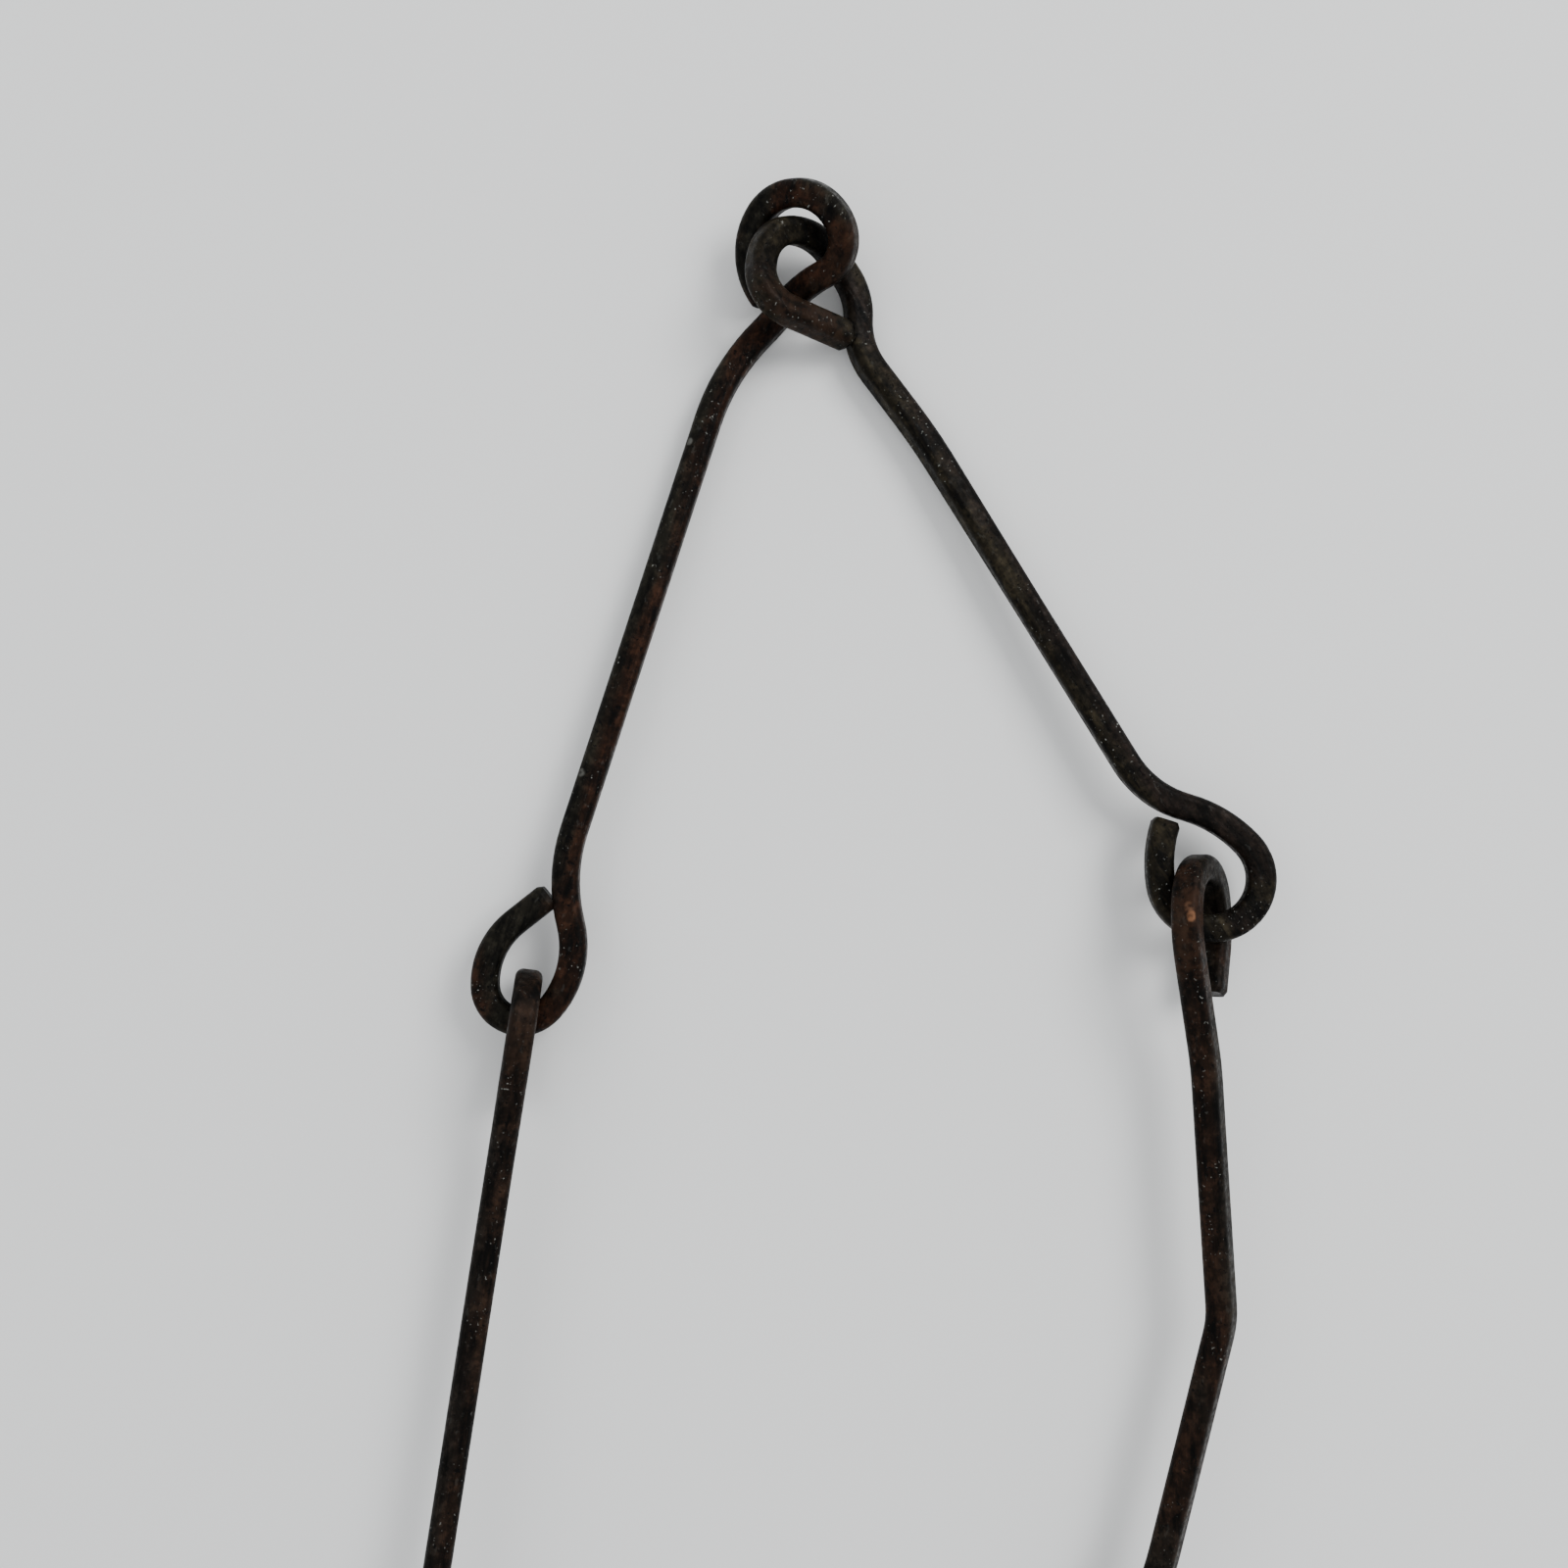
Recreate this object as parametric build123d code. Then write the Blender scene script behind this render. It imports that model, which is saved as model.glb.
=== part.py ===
from build123d import *
import os
from math import cos, radians, sin

# A length of chain: four one-piece links, each bent by hand from square bar with rounded
# corners. Every link has an eye at its top end and a hook at its bottom end. The two upper
# links hang in each other by their round eyes, and each lower link hangs from a hook by its
# long narrow eye. The chain lies on a flat surface: Z is up, and Y runs up the chain. The
# origin is the middle of the chain's own rectangle, on that surface.

# The bar. All bends are sized in bar thicknesses, so their fits follow this one size.
bar = 4.0
bar_rounding = 0.3 * bar     # radius of the bar's four long corners
cut_bevel = 0.18 * bar       # length of the bevel that the cutter leaves on each end
cut_inset = 0.11 * bar       # how far that bevel comes in from the sides

# Straight lengths of the four shanks, above and below the middle of each
left_shank_up = 26.2
left_shank_down = 37.8
right_shank_up = 25.8
right_shank_down = 26.7
lower_left_shank_up = 6.7
lower_left_shank_down = 66.0
lower_right_shank_up = 20.7
lower_right_shank_down = 32.0

# Insides of the bends that another link or a hanging thing goes through, in bars
round_eye_inside = 1.325     # upper left link's eye
folded_eye_inside = 0.7      # upper right link's eye, at its tightest
narrow_eye_inside = 0.8      # both lower links' eyes
teardrop_inside = 0.85       # both left links' hooks
open_inside = 1.325          # both right links' hooks

# Way each shank points, in degrees clockwise from +Y, seen from above
left_heading = 17.8
right_heading = -31.2
lower_left_heading = 8.6
lower_right_heading = -3.6

# Slope of each shank, in degrees: below zero when its upper end is the lower
left_slope = -2.4
right_slope = -3.15
lower_left_slope = -1.7
lower_right_slope = 0.1

# Turn of each link about its own shank, in degrees, and twist worked into the upper right one
right_roll = -0.8
right_twist = 18.5
lower_left_roll = 99
lower_right_roll = 54

half_bar = bar / 2


def run(length, twist=0):
    """Straight stretch, which may be twisted as it goes."""
    return ("run", length, twist)


def turn(inside, angle, bias=0):
    """Bend in the link's own plane, to the left when positive. Bias tips the bending axis."""
    return ("turn", inside * bar + half_bar, angle, bias)


def lift(inside, angle):
    """Bend out of the link's plane, upwards when positive."""
    return ("lift", inside * bar + half_bar, angle, 0)


def start_plane(middle, heading, slope, roll):
    """Section plane at the middle of a shank: its z is along the bar, its x is the link's up."""
    level = Vector(sin(radians(heading)), cos(radians(heading)), 0)
    along = level * cos(radians(slope)) + Vector(0, 0, sin(radians(slope)))
    side = along.cross(Vector(0, 0, 1)).normalized()
    upright = side.cross(along)
    upright = upright.rotate(Axis((0, 0, 0), along), roll)
    return Plane(origin=middle, x_dir=upright, z_dir=along)


def bend_axis(plane, step):
    """Axis that a bend goes round."""
    kind, radius, angle, bias = step
    along, up = plane.z_dir, plane.x_dir
    normal = up.rotate(Axis((0, 0, 0), along), bias)
    if kind == "lift":
        normal = along.cross(up)
    if angle < 0:
        normal = normal * -1
    inward = normal.cross(along)
    return Axis(plane.origin + inward * radius, normal)


def next_plane(plane, step):
    """Section plane at the far end of one step."""
    if step[0] == "run":
        up = plane.x_dir.rotate(Axis((0, 0, 0), plane.z_dir), step[2])
        return Plane(origin=plane.origin + plane.z_dir * step[1], x_dir=up, z_dir=plane.z_dir)
    axis = bend_axis(plane, step)
    angle = abs(step[2])
    origin = axis.position + (plane.origin - axis.position).rotate(axis, angle)
    up = plane.x_dir.rotate(axis, angle)
    return Plane(origin=origin, x_dir=up, z_dir=plane.z_dir.rotate(axis, angle))


def section_planes(plane, steps):
    """Section planes at the start of a list of steps and after each one."""
    planes = [plane]
    for step in steps:
        planes.append(next_plane(planes[-1], step))
    return planes


def flipped(plane):
    """The same section, looking the other way along the bar."""
    return Plane(origin=plane.origin, x_dir=plane.x_dir, z_dir=plane.z_dir * -1)


def bend_centre(plane, steps, bend):
    """Centre of one bend of an arm."""
    number = steps.index(bend)
    return bend_axis(section_planes(plane, steps)[number], bend).position


def hung_plane(seat, arm, bend, heading, slope, roll):
    """Section plane of a link that is placed by one of its bends, whose centre is at the seat."""
    loose = start_plane(Vector(0, 0, 0), heading, slope, roll)
    return start_plane(seat - bend_centre(loose, arm, bend), heading, slope, roll)


def bar_section(plane, inset=0):
    side = bar - 2 * inset
    return plane * RectangleRounded(side, side, bar_rounding - inset)


def bent_arm(plane, steps):
    """Solids of one arm of a link, from its middle to its cut end."""
    planes = section_planes(plane, steps)
    pieces = []
    for here, there, step in zip(planes, planes[1:], steps):
        section = bar_section(here)
        if step[0] != "run":
            pieces.append(revolve(section, bend_axis(here, step), revolution_arc=abs(step[2])))
        elif step[2]:
            pieces.append(loft([section, bar_section(there)], ruled=True))
        else:
            pieces.append(extrude(section, amount=step[1], dir=here.z_dir))
    end = planes[-1]
    pieces.append(loft([bar_section(end), bar_section(end.offset(cut_bevel), cut_inset)], ruled=True))
    return pieces


def link(plane, arm_up, arm_down):
    """One link, as a single solid, from the bends of its two arms."""
    pieces = bent_arm(plane, arm_up) + bent_arm(flipped(plane), arm_down)
    solid = pieces[0].fuse(*pieces[1:]).clean()
    return Part() + solid


def mirrored(steps):
    """The same bends, to the other side."""
    return [(step[0], step[1], -step[2], *step[3:]) for step in steps]


# Upper left link's eye: the neck bows out, rises to cross, and closes in a round ring
round_neck = turn(8.0, -27)
round_rise = lift(1.5, 35)
round_entry = turn(4.3, -24.5)
round_side = turn(round_eye_inside - 0.55, 89)
round_crown = turn(round_eye_inside, 117)
round_end = turn(round_eye_inside + 0.5, 79)
left_eye = [
    run(left_shank_up), round_neck, round_rise, round_entry, round_side, round_crown, round_end
]

# Teardrop hook: the shank swings in, then out round the hook's bottom and up to the tip
teardrop_bow = turn(5.7, 32)
teardrop_entry = turn(2.95, -55.5)
teardrop_bottom = turn(teardrop_inside, -136.5)
teardrop_close = turn(2.35, -54)
teardrop_tip = run(1.42 * bar)
teardrop_hook = [teardrop_bow, teardrop_entry, teardrop_bottom, teardrop_close, teardrop_tip]
left_hook = [run(left_shank_down)] + teardrop_hook

# Upper right link's eye: it passes under the round ring, then climbs back over it and folds
folded_bow = turn(19.5, 6)
folded_neck = turn(2.5, -40, bias=-right_roll - right_twist)
folded_side = turn(1.9, 47.5)
folded_rise = lift(0.75, 21.2)
folded_crown = turn(1.9, 52)
folded_turn = turn(folded_eye_inside, 73.5)
folded_climb = lift(0.75, 30.6)
folded_end = turn(folded_eye_inside, 87)
folded_tail = run(2.58 * bar)
right_eye = [
    run(right_shank_up, right_twist), folded_bow, run(2.05 * bar), folded_neck, folded_side,
    folded_rise, folded_crown, folded_turn, folded_climb, folded_end, folded_tail
]

# Open hook: as the teardrop, but rounder and left open at the tip
open_bow = turn(3.2, 43)
open_entry = turn(4.3, -31.5)
open_bottom = turn(open_inside, -214)
open_tip = turn(4.4, -26.5)
open_hook = [open_bow, open_entry, open_bottom, open_tip]
right_hook = [run(right_shank_down)] + open_hook

# Lower links' eyes: long and narrow, with the end lying back along the shank
left_waist_in = turn(5.75, 17.5)
left_waist_out = turn(5.75, -22)
left_narrow_crown = turn(narrow_eye_inside, -182.5)
lower_left_eye = [
    run(lower_left_shank_up), left_waist_in, run(2.13 * bar), left_waist_out,
    left_narrow_crown, run(2.92 * bar)
]
right_waist_in = turn(5.9, 12.2)
right_waist_out = turn(3.5, -29.5)
right_narrow_crown = turn(narrow_eye_inside + 0.1, -157)
right_narrow_return = turn(3.35, -30)
lower_right_eye = [
    run(lower_right_shank_up), right_waist_in, run(3.53 * bar), right_waist_out,
    right_narrow_crown, right_narrow_return, run(1.41 * bar)
]

# Lower links' hooks: the same as those above them, turned to the other side
lower_left_hook = [run(lower_left_shank_down)] + mirrored(teardrop_hook)
shank_kink = turn(3.0, -17.5, bias=lower_right_roll)
lower_right_hook = [run(2.85 * bar), shank_kink, run(lower_right_shank_down)] + mirrored(open_hook)

# Places of the links. The first one is laid down, and each of the others is placed from the
# bend it hangs by: its own eye's centre against the centre of the bend that holds it.
left_plane = start_plane(Vector(0, 0, 0), left_heading, left_slope, 0)
round_centre = bend_centre(left_plane, left_eye, round_crown)

folded_seat = Vector(-0.043, -2.148, -0.574) * bar
right_plane = hung_plane(
    round_centre + folded_seat, right_eye, folded_side, right_heading, right_slope, right_roll
)

teardrop_centre = bend_centre(flipped(left_plane), left_hook, teardrop_bottom)
teardrop_seat = Vector(-0.150, -0.989, 0.000) * (teardrop_inside + 0.5) * bar
teardrop_lie = Vector(0.242, 0.119, 0.142) * bar
lower_left_plane = hung_plane(
    teardrop_centre + teardrop_seat + teardrop_lie, lower_left_eye, left_narrow_crown,
    lower_left_heading, lower_left_slope, lower_left_roll
)

open_centre = bend_centre(flipped(right_plane), right_hook, open_bottom)
open_seat = Vector(0.063, -0.998, 0.000) * (open_inside + 0.5) * bar
open_lie = Vector(-0.446, 0.799, 0.020) * bar
lower_right_plane = hung_plane(
    open_centre + open_seat + open_lie, lower_right_eye, right_narrow_crown,
    lower_right_heading, lower_right_slope, lower_right_roll
)

links = {
    "link_upper_left": link(left_plane, left_eye, left_hook),
    "link_upper_right": link(right_plane, right_eye, right_hook),
    "link_lower_left": link(lower_left_plane, lower_left_eye, lower_left_hook),
    "link_lower_right": link(lower_right_plane, lower_right_eye, lower_right_hook),
}

# Move the whole chain so that the origin is at its middle, on the surface it lies on
extent = Compound(list(links.values())).bounding_box()
to_origin = Vector(-extent.center().X, -extent.center().Y, -extent.min.Z)

os.makedirs("parts", exist_ok=True)
for name, solid in links.items():
    export_step(Location(to_origin) * solid, "parts/" + name + ".step")
    print(name, "volume", round(solid.volume, 2))

print("size", extent.size)
free_hooks = {
    "free teardrop hook": (lower_left_plane, lower_left_hook, teardrop_bottom),
    "free open hook": (lower_right_plane, lower_right_hook, open_bottom),
}
for name, (plane, arm, bend) in free_hooks.items():
    other_way = mirrored([bend])[0]
    planes = section_planes(flipped(plane), arm)
    round_axis = bend_axis(planes[arm.index(other_way)], other_way)
    print(name, round_axis.position + to_origin, round_axis.direction)
print("round eye centre", round_centre + to_origin)
print("teardrop hook centre", teardrop_centre + to_origin)
print("open hook centre", open_centre + to_origin)
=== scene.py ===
from math import radians

import bpy
from mathutils import Matrix, Vector


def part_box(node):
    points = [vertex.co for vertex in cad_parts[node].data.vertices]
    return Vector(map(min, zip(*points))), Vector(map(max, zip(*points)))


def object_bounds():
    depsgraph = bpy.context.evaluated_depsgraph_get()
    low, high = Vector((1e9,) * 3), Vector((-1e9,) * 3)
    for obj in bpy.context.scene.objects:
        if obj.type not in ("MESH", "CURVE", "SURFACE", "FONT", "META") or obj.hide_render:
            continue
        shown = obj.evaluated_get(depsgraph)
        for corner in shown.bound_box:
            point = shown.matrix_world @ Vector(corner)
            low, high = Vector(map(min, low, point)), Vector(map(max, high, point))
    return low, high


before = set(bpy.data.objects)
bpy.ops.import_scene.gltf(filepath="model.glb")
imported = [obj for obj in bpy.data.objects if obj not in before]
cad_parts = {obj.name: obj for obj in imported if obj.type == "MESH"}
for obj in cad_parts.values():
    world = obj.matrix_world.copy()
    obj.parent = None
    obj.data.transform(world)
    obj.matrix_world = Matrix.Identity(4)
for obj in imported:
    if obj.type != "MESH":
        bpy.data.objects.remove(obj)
cad_low, cad_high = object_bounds()

# The camera looks straight down on the chain, from a hand's height above the table.
# It is aimed a little above and to the left of the chain's middle, so the free hooks
# at the bottom end lie just outside the view.
chain_size = cad_high - cad_low
chain_middle = (cad_low + cad_high) / 2
camera_height = 0.228
half_view = 0.52
aim_left = 0.0456
aim_up = 0.1487

camera_data = bpy.data.cameras.new("overhead_camera")
camera_data.sensor_width = 36
camera_data.lens = camera_data.sensor_width / 2 / half_view
camera_data.clip_start = 0.01
camera_data.clip_end = 10
camera = bpy.data.objects.new("overhead_camera", camera_data)
camera.location = (
    chain_middle.x - aim_left * chain_size.x,
    chain_middle.y + aim_up * chain_size.y,
    camera_height,
)
bpy.context.collection.objects.link(camera)
bpy.context.scene.camera = camera

# The table is a pale, matt sheet under the chain, much larger than the view.
# Its surface is the height that the lowest link touches.
table_half = 1.5
table_drop = 0.00005
bpy.ops.mesh.primitive_plane_add(size=2 * table_half, location=(0, 0, 0))
table = bpy.context.object
table.name = "pale_table"
table.data.transform(Matrix.Translation((0, 0, cad_low.z - table_drop)))
table_finish = bpy.data.materials.new("pale_matt_paper")
table_finish.use_nodes = True
table_shader = table_finish.node_tree.nodes["Principled BSDF"]
table_shader.inputs["Base Color"].default_value = (0.82, 0.825, 0.815, 1)
table_shader.inputs["Roughness"].default_value = 0.75
table_shader.inputs["Specular IOR Level"].default_value = 0.2
table.data.materials.append(table_finish)

# Soft studio light: a wide lamp high on the right, a weaker one on the upper left, and
# a pale room that fills the shadows.
room = bpy.data.worlds.new("pale_room")
room.use_nodes = True
room.node_tree.nodes["Background"].inputs["Color"].default_value = (0.95, 0.965, 0.99, 1)
room.node_tree.nodes["Background"].inputs["Strength"].default_value = 0.95
bpy.context.scene.world = room


def add_softbox(name, place, side, watts):
    """Square lamp at a place in metres, pointed at the middle of the chain."""
    lamp = bpy.data.lights.new(name, "AREA")
    lamp.shape = "SQUARE"
    lamp.size = side
    lamp.energy = watts
    holder = bpy.data.objects.new(name, lamp)
    holder.location = place
    holder.rotation_mode = "QUATERNION"
    holder.rotation_quaternion = (chain_middle - Vector(place)).to_track_quat("-Z", "Y")
    bpy.context.collection.objects.link(holder)


add_softbox("right_softbox", (0.75, 0.55, 0.95), 0.6, 12.5)
add_softbox("left_softbox", (-0.7, 0.5, 0.8), 0.7, 2.2)

# Upper left link: square bar with rounded corners, bent cold into a round eye and a
# teardrop hook, and darkened almost black. Handling has worn its corners back to brown.
metres_per_mm = 0.001


def link_input(group, name, kind, value):
    socket = group.interface.new_socket(name=name, in_out="INPUT", socket_type=kind)
    if value is not None:
        socket.default_value = value
    return socket


def make_patina_group():
    """Darkened bar: mottled skin, streaks along the bar, worn corners, pits, dust and pale
    corner nicks that are partly painted glints.
    """
    group = bpy.data.node_groups.new("darkened_bar_skin", "ShaderNodeTree")
    link_input(group, "Along Bar", "NodeSocketVector", None)
    link_input(group, "Skin", "NodeSocketColor", (0.0018, 0.0017, 0.0015, 1))
    # Left Tone and Right Tone are painted light and shade: the tones of the bar's lit face and
    # its shaded face
    link_input(group, "Left Tone", "NodeSocketColor", (0.022, 0.021, 0.017, 1))
    link_input(group, "Right Tone", "NodeSocketColor", (0.035, 0.018, 0.011, 1))
    link_input(group, "Corner Tone", "NodeSocketColor", (0.05, 0.033, 0.022, 1))
    link_input(group, "Dust And Glint Tone", "NodeSocketColor", (0.32, 0.33, 0.30, 1))
    link_input(group, "Brownness", "NodeSocketFloat", 0.5)
    link_input(group, "Wear", "NodeSocketFloat", 0.6)
    link_input(group, "Dust And Glint Amount", "NodeSocketFloat", 0.5)
    for name, kind in (("Color", "NodeSocketColor"), ("Roughness", "NodeSocketFloat"),
                       ("Metallic", "NodeSocketFloat"), ("Height", "NodeSocketFloat")):
        group.interface.new_socket(name=name, in_out="OUTPUT", socket_type=kind)
    nodes, links = group.nodes, group.links
    given = nodes.new("NodeGroupInput")
    result = nodes.new("NodeGroupOutput")

    def noise(scale, detail, rough=0.6, stretch=(1, 1, 1)):
        spread = nodes.new("ShaderNodeMapping")
        spread.inputs["Scale"].default_value = stretch
        links.new(given.outputs["Along Bar"], spread.inputs["Vector"])
        texture = nodes.new("ShaderNodeTexNoise")
        texture.inputs["Scale"].default_value = scale
        texture.inputs["Detail"].default_value = detail
        texture.inputs["Roughness"].default_value = rough
        links.new(spread.outputs["Vector"], texture.inputs["Vector"])
        return texture.outputs["Fac"]

    def between(value, low, high, out_low=0.0, out_high=1.0):
        remap = nodes.new("ShaderNodeMapRange")
        remap.interpolation_type = "SMOOTHSTEP"
        links.new(value, remap.inputs["Value"])
        remap.inputs["From Min"].default_value = low
        remap.inputs["From Max"].default_value = high
        remap.inputs["To Min"].default_value = out_low
        remap.inputs["To Max"].default_value = out_high
        return remap.outputs["Result"]

    def combine(how, first, second):
        math = nodes.new("ShaderNodeMath")
        math.operation = how
        for socket, value in ((math.inputs[0], first), (math.inputs[1], second)):
            if isinstance(value, (int, float)):
                socket.default_value = value
            else:
                links.new(value, socket)
        return math.outputs[0]

    def blend(share, first, second):
        mix = nodes.new("ShaderNodeMix")
        mix.data_type = "RGBA"
        links.new(share, mix.inputs["Factor"])
        links.new(first, mix.inputs[6])
        links.new(second, mix.inputs[7])
        return mix.outputs[2]

    # the bar's two long halves are painted in their own tones, with a ragged line between them:
    # painted light and shade, as on a lit face and a shaded face
    line_wander = 0.006
    line_softness = 0.0012
    shank_edge = 0.002
    bend_start = 0.0045
    across = nodes.new("ShaderNodeSeparateXYZ")
    links.new(given.outputs["Along Bar"], across.inputs["Vector"])
    wander = combine("SUBTRACT", noise(160, 4, 0.6, (1, 0.35, 1)), 0.5)
    ragged = combine("MULTIPLY", wander, line_wander)
    side = between(combine("ADD", across.outputs["X"], ragged), -line_softness, line_softness)
    off_shank = between(combine("ABSOLUTE", across.outputs["X"], 0), shank_edge, bend_start)
    patches = between(noise(75, 4, 0.55), 0.42, 0.58)
    swap = nodes.new("ShaderNodeMix")
    links.new(off_shank, swap.inputs[0])
    links.new(side, swap.inputs[2])
    links.new(patches, swap.inputs[3])
    painted_face_light_tone = blend(swap.outputs[0], given.outputs["Left Tone"], given.outputs["Right Tone"])

    # cloudy mottling and long streaks let the black skin show through
    clouds = between(noise(260, 9, 0.72, (1, 0.6, 1)), 0.43, 0.57)
    streaks = between(noise(900, 6, 0.65, (1, 0.07, 1)), 0.40, 0.60)
    crust = between(noise(820, 5, 0.6), 0.56, 0.40)
    mottle = combine("ADD", combine("MULTIPLY", clouds, 0.6), combine("MULTIPLY", streaks, 0.4))
    shows = combine("MULTIPLY", mottle, given.outputs["Brownness"])
    shows = combine("MULTIPLY", shows, combine("ADD", combine("MULTIPLY", crust, 0.55), 0.45))
    color = blend(shows, given.outputs["Skin"], painted_face_light_tone)

    # the corners are rubbed back wherever the metal is thin under the surface
    corner_depth = 0.0022
    corner = nodes.new("ShaderNodeAmbientOcclusion")
    corner.inside = True
    corner.samples = 8
    corner.inputs["Distance"].default_value = corner_depth
    rubbed = between(corner.outputs["AO"], 0.42, 0.16)
    patchy = between(noise(420, 5, 0.6, (1, 0.4, 1)), 0.35, 0.65, 0.25, 1.0)
    rubbed = combine("MULTIPLY", combine("MULTIPLY", rubbed, patchy), given.outputs["Wear"])
    color = blend(rubbed, color, given.outputs["Corner Tone"])

    # ragged pits stay black, nicks on the corners are pale and partly painted glints along the
    # corner ridges, and dust lies in patches
    pit = between(noise(1150, 3, 0.55), 0.37, 0.31)
    black = nodes.new("ShaderNodeRGB")
    black.outputs[0].default_value = (0.002, 0.002, 0.002, 1)
    color = blend(combine("MULTIPLY", pit, 0.9), color, black.outputs[0])
    near_corner = between(corner.outputs["AO"], 0.60, 0.30, 0.12, 1.0)
    nick_and_glint_shape = between(noise(1300, 4, 0.6, (1, 0.45, 1)), 0.63, 0.68)
    nick_and_glint = combine("MULTIPLY", nick_and_glint_shape, near_corner)
    dusty = between(noise(95, 3), 0.46, 0.60)
    fleck = combine("MULTIPLY", between(noise(2100, 3, 0.5), 0.665, 0.70), dusty)
    dust_and_glint = combine("MAXIMUM", combine("MULTIPLY", nick_and_glint, 0.55), fleck)
    dust_and_glint = combine("MULTIPLY", dust_and_glint, given.outputs["Dust And Glint Amount"])
    color = blend(dust_and_glint, color, given.outputs["Dust And Glint Tone"])
    links.new(color, result.inputs["Color"])

    # rubbed metal is smoother and brighter than the skin, and dust and the pale nicks with their
    # painted glints are dull
    grain = between(noise(900, 6, 0.7), 0.35, 0.65, 0.30, 0.58)
    polish = combine("SUBTRACT", grain, combine("MULTIPLY", rubbed, 0.10))
    links.new(combine("ADD", polish, combine("MULTIPLY", dust_and_glint, 0.3)), result.inputs["Roughness"])
    links.new(combine("ADD", combine("MULTIPLY", rubbed, 0.45), 0.18), result.inputs["Metallic"])

    # hammered waves, drawn lines along the bar, fine grain and the pits' depth, in metres
    wave_height = 0.00045
    drawn_line_height = 0.00005
    grit_height = 0.00010
    pit_depth = 0.00007
    dust_and_glint_height = 0.00004
    waves = combine("MULTIPLY", noise(210, 4, 0.5), wave_height)
    drawn = combine("MULTIPLY", noise(1100, 3, 0.5, (1, 0.05, 1)), drawn_line_height)
    grit = combine("MULTIPLY", noise(1500, 6, 0.7), grit_height)
    depth = combine("MULTIPLY", pit, -pit_depth)
    height = combine("ADD", combine("ADD", waves, drawn), combine("ADD", grit, depth))
    layer = combine("MULTIPLY", dust_and_glint, dust_and_glint_height)
    links.new(combine("ADD", height, layer), result.inputs["Height"])
    return group


def make_spot_group():
    """Mask that is strong within a small ragged spot of the surface and fades out round it."""
    group = bpy.data.node_groups.new("ragged_spot", "ShaderNodeTree")
    link_input(group, "Place", "NodeSocketVector", None)
    link_input(group, "Centre", "NodeSocketVector", None)
    link_input(group, "Radius", "NodeSocketFloat", 0.002)
    link_input(group, "Raggedness", "NodeSocketFloat", 0.4)
    link_input(group, "Strength", "NodeSocketFloat", 1.0)
    group.interface.new_socket(name="Mask", in_out="OUTPUT", socket_type="NodeSocketFloat")
    nodes, links = group.nodes, group.links
    given = nodes.new("NodeGroupInput")
    result = nodes.new("NodeGroupOutput")
    gap = nodes.new("ShaderNodeVectorMath")
    gap.operation = "DISTANCE"
    links.new(given.outputs["Place"], gap.inputs[0])
    links.new(given.outputs["Centre"], gap.inputs[1])
    share = nodes.new("ShaderNodeMath")
    share.operation = "DIVIDE"
    links.new(gap.outputs["Value"], share.inputs[0])
    links.new(given.outputs["Radius"], share.inputs[1])
    torn = nodes.new("ShaderNodeTexNoise")
    torn.inputs["Scale"].default_value = 700
    torn.inputs["Detail"].default_value = 5
    links.new(given.outputs["Place"], torn.inputs["Vector"])
    lean = nodes.new("ShaderNodeMath")
    lean.operation = "MULTIPLY_ADD"
    links.new(torn.outputs["Fac"], lean.inputs[0])
    links.new(given.outputs["Raggedness"], lean.inputs[1])
    links.new(share.outputs[0], lean.inputs[2])
    edge = nodes.new("ShaderNodeMapRange")
    edge.interpolation_type = "SMOOTHSTEP"
    links.new(lean.outputs[0], edge.inputs["Value"])
    edge.inputs["From Min"].default_value = 1.25
    edge.inputs["From Max"].default_value = 0.85
    # the same noise breaks the inside of the spot up, so that it isn't one flat patch
    broken = nodes.new("ShaderNodeMapRange")
    broken.interpolation_type = "SMOOTHSTEP"
    links.new(torn.outputs["Fac"], broken.inputs["Value"])
    broken.inputs["From Min"].default_value = 0.62
    broken.inputs["From Max"].default_value = 0.42
    broken.inputs["To Min"].default_value = 0.15
    within = nodes.new("ShaderNodeMath")
    within.operation = "MULTIPLY"
    links.new(edge.outputs["Result"], within.inputs[0])
    links.new(broken.outputs["Result"], within.inputs[1])
    strength = nodes.new("ShaderNodeMath")
    strength.operation = "MULTIPLY"
    links.new(within.outputs[0], strength.inputs[0])
    links.new(given.outputs["Strength"], strength.inputs[1])
    links.new(strength.outputs[0], result.inputs["Mask"])
    return group


patina_group = make_patina_group()
spot_group = make_spot_group()


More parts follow.
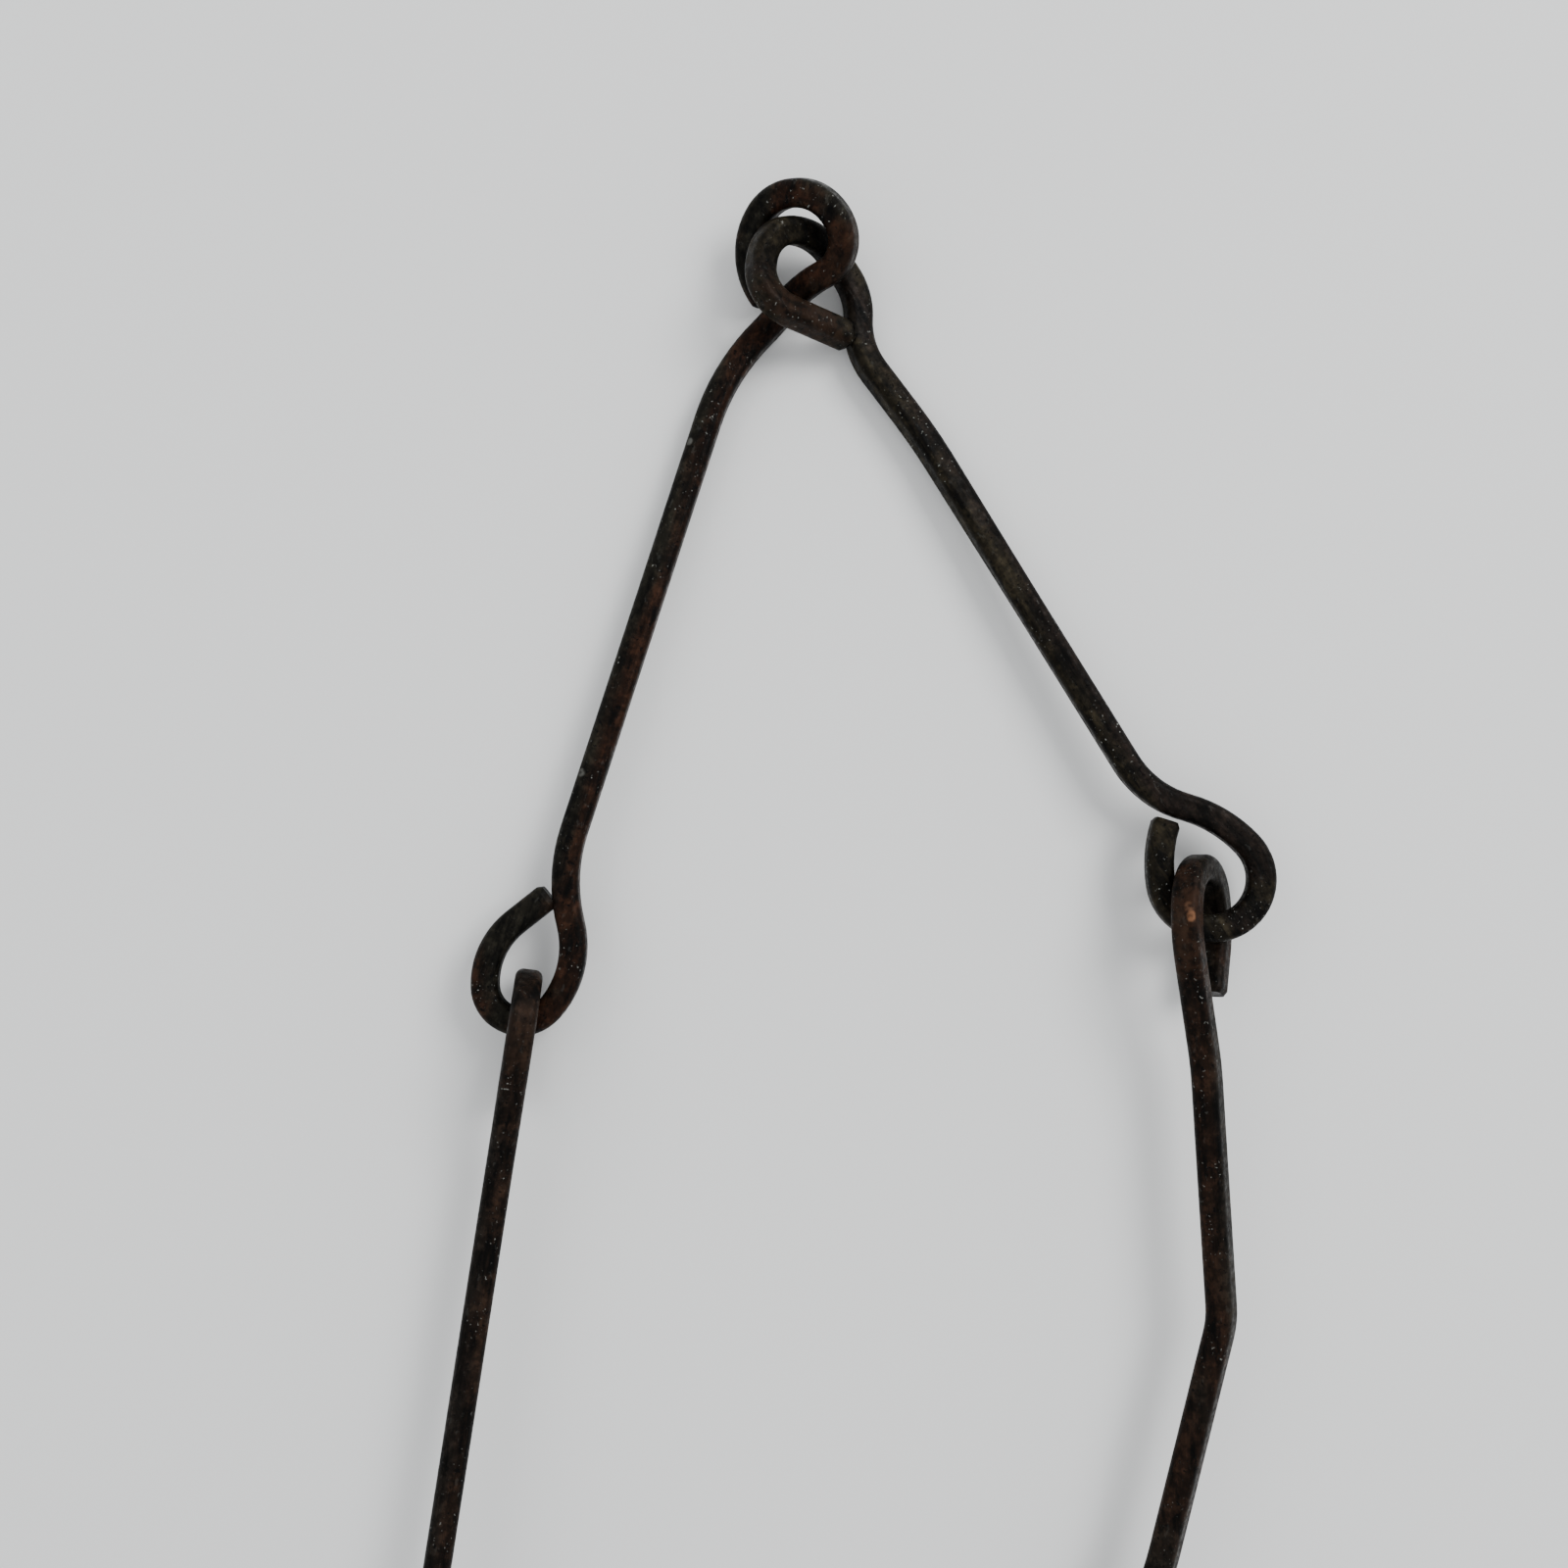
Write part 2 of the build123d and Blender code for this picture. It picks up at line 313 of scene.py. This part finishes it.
def darkened_metal(name, shank_middle, heading, pattern_shift, look, spots=()):
    """Finish of one link. Its pattern is lined up with the link's own shank.

    Each spot is its centre, radius in metres, raggedness, strength and colour.
    """
    finish = bpy.data.materials.new(name)
    finish.use_nodes = True
    nodes, links = finish.node_tree.nodes, finish.node_tree.links
    shader = nodes["Principled BSDF"]
    coordinate = nodes.new("ShaderNodeTexCoord")
    shift = nodes.new("ShaderNodeMapping")
    shift.vector_type = "TEXTURE"
    shift.inputs["Location"].default_value = (shank_middle.x, shank_middle.y, pattern_shift)
    shift.inputs["Rotation"].default_value = (0, 0, -radians(heading))
    links.new(coordinate.outputs["Object"], shift.inputs["Vector"])
    skin = nodes.new("ShaderNodeGroup")
    skin.node_tree = patina_group
    links.new(shift.outputs["Vector"], skin.inputs["Along Bar"])
    for socket, value in look.items():
        skin.inputs[socket].default_value = value
    color = skin.outputs["Color"]
    for centre, radius, raggedness, strength, spot_color in spots:
        spot = nodes.new("ShaderNodeGroup")
        spot.node_tree = spot_group
        links.new(coordinate.outputs["Object"], spot.inputs["Place"])
        spot.inputs["Centre"].default_value = centre
        spot.inputs["Radius"].default_value = radius
        spot.inputs["Raggedness"].default_value = raggedness
        spot.inputs["Strength"].default_value = strength
        paint = nodes.new("ShaderNodeMix")
        paint.data_type = "RGBA"
        links.new(spot.outputs["Mask"], paint.inputs["Factor"])
        links.new(color, paint.inputs[6])
        paint.inputs[7].default_value = spot_color
        color = paint.outputs[2]
    links.new(color, shader.inputs["Base Color"])
    links.new(skin.outputs["Roughness"], shader.inputs["Roughness"])
    links.new(skin.outputs["Metallic"], shader.inputs["Metallic"])
    shader.inputs["Specular IOR Level"].default_value = 0.05
    bump = nodes.new("ShaderNodeBump")
    bump.inputs["Distance"].default_value = 1.0
    bump.inputs["Strength"].default_value = 0.8
    links.new(skin.outputs["Height"], bump.inputs["Height"])
    links.new(bump.outputs["Normal"], shader.inputs["Normal"])
    return finish


def coat(node, finish):
    """Puts a finish on every slot of a link, and leaves its shape and shading alone."""
    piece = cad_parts[node]
    for number in range(len(piece.material_slots)):
        piece.material_slots[number].material = finish


def from_corner(node, right, up, high=0):
    """Point this far right of and above the lower left corner of a link's box, in mm."""
    low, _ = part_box(node)
    return Vector(low) + Vector((right, up, high)) * metres_per_mm


# near-black spots at the cut ends of the bar
cut_end_black = (0.004, 0.0038, 0.0036, 1)
nick_grey = (0.10, 0.10, 0.09, 1)
upper_left_heading = 17.8
upper_left_shank = from_corner("link_upper_left", 26.4, 66.0)
coat("link_upper_left", darkened_metal(
    "upper_left_patina", upper_left_shank, upper_left_heading, 0.11,
    {"Left Tone": (0.019, 0.017, 0.012, 1), "Right Tone": (0.034, 0.0145, 0.008, 1),
     "Brownness": 1.0, "Wear": 0.55, "Dust And Glint Amount": 0.5},
    [(from_corner("link_upper_left", 10.9, 20.4, 5.8), 0.0023, 0.5, 1.0, cut_end_black),
     (from_corner("link_upper_left", 43.3, 109.2, 2.7), 0.0022, 0.5, 1.0, cut_end_black),
     (from_corner("link_upper_left", 55.4, 113.8, 12.3),
      0.0055, 0.6, 0.35, (0.028, 0.015, 0.009, 1)),
     (from_corner("link_upper_left", 31.6, 87.6, 5.0), 0.0008, 0.3, 0.7, nick_grey),
     (from_corner("link_upper_left", 16.1, 38.6, 6.9), 0.0007, 0.3, 0.7, nick_grey)],
))

# Upper right link: the same bar, twisted a little along its shank, with a folded eye
# whose tail lies across the other link. Its top is a paler olive brown: painted light, given as
# the tone of its left half.
upper_right_heading = -31.2
upper_right_shank = from_corner("link_upper_right", 42.1, 49.1)
coat("link_upper_right", darkened_metal(
    "upper_right_patina", upper_right_shank, upper_right_heading, 0.37,
    {"Left Tone": (0.030, 0.024, 0.014, 1), "Right Tone": (0.019, 0.013, 0.010, 1),
     "Brownness": 0.95, "Wear": 0.55, "Dust And Glint Amount": 0.55},
    [(from_corner("link_upper_right", 9.9, 89.9, 8.8),
      0.0080, 0.7, 0.4, (0.036, 0.018, 0.010, 1)),
     (from_corner("link_upper_right", 3.6, 92.5, 12.0),
      0.0045, 0.7, 0.4, (0.030, 0.016, 0.010, 1)),
     (from_corner("link_upper_right", 15.1, 89.6, 3.0), 0.0021, 0.5, 1.0, cut_end_black),
     (from_corner("link_upper_right", 61.6, 17.5, 6.4), 0.0022, 0.5, 1.0, cut_end_black)],
))

# Lower left link: the same bar, hung by a long narrow eye that stands on edge. Its other
# end is bent into a teardrop hook like the one it hangs from, turned to the other side.
lower_left_heading = 8.6
lower_left_shank = from_corner("link_lower_left", 16.8, 96.2)
coat("link_lower_left", darkened_metal(
    "lower_left_patina", lower_left_shank, lower_left_heading, 0.53,
    {"Left Tone": (0.018, 0.014, 0.011, 1), "Right Tone": (0.029, 0.016, 0.010, 1),
     "Brownness": 0.95, "Wear": 0.5, "Dust And Glint Amount": 0.45},
    [(from_corner("link_lower_left", 19.0, 114.8, 3.9), 0.0023, 0.5, 1.0, cut_end_black),
     (from_corner("link_lower_left", 5.3, 20.8, 10.2), 0.0023, 0.5, 1.0, cut_end_black),
     (from_corner("link_lower_left", 23.2, 125.4, 14.3),
      0.0060, 0.6, 0.35, (0.030, 0.017, 0.011, 1))],
))

# Lower right link: the same bar with a slight kink below its eye, rubbed down to bare
# copper at one place on the eye.
worn_copper = (0.16, 0.075, 0.038, 1)
half_worn_copper = (0.10, 0.050, 0.028, 1)
lower_right_heading = -3.6
lower_right_shank = from_corner("link_lower_right", 20.1, 76.0)
coat("link_lower_right", darkened_metal(
    "lower_right_patina", lower_right_shank, lower_right_heading, 0.79,
    {"Left Tone": (0.030, 0.015, 0.009, 1), "Right Tone": (0.023, 0.018, 0.013, 1),
     "Brownness": 0.95, "Wear": 0.6, "Dust And Glint Amount": 0.45},
    [(from_corner("link_lower_right", 14.6, 119.0, 14.0),
      0.0090, 0.7, 0.45, (0.038, 0.018, 0.010, 1)),
     (from_corner("link_lower_right", 14.9, 121.6, 14.2), 0.0010, 0.5, 0.9, worn_copper),
     (from_corner("link_lower_right", 14.5, 122.9, 14.2), 0.0012, 0.6, 0.8, half_worn_copper),
     (from_corner("link_lower_right", 20.3, 109.6, 5.4), 0.0023, 0.5, 1.0, cut_end_black),
     (from_corner("link_lower_right", 10.0, 19.3, 9.0), 0.0023, 0.5, 1.0, cut_end_black)],
))
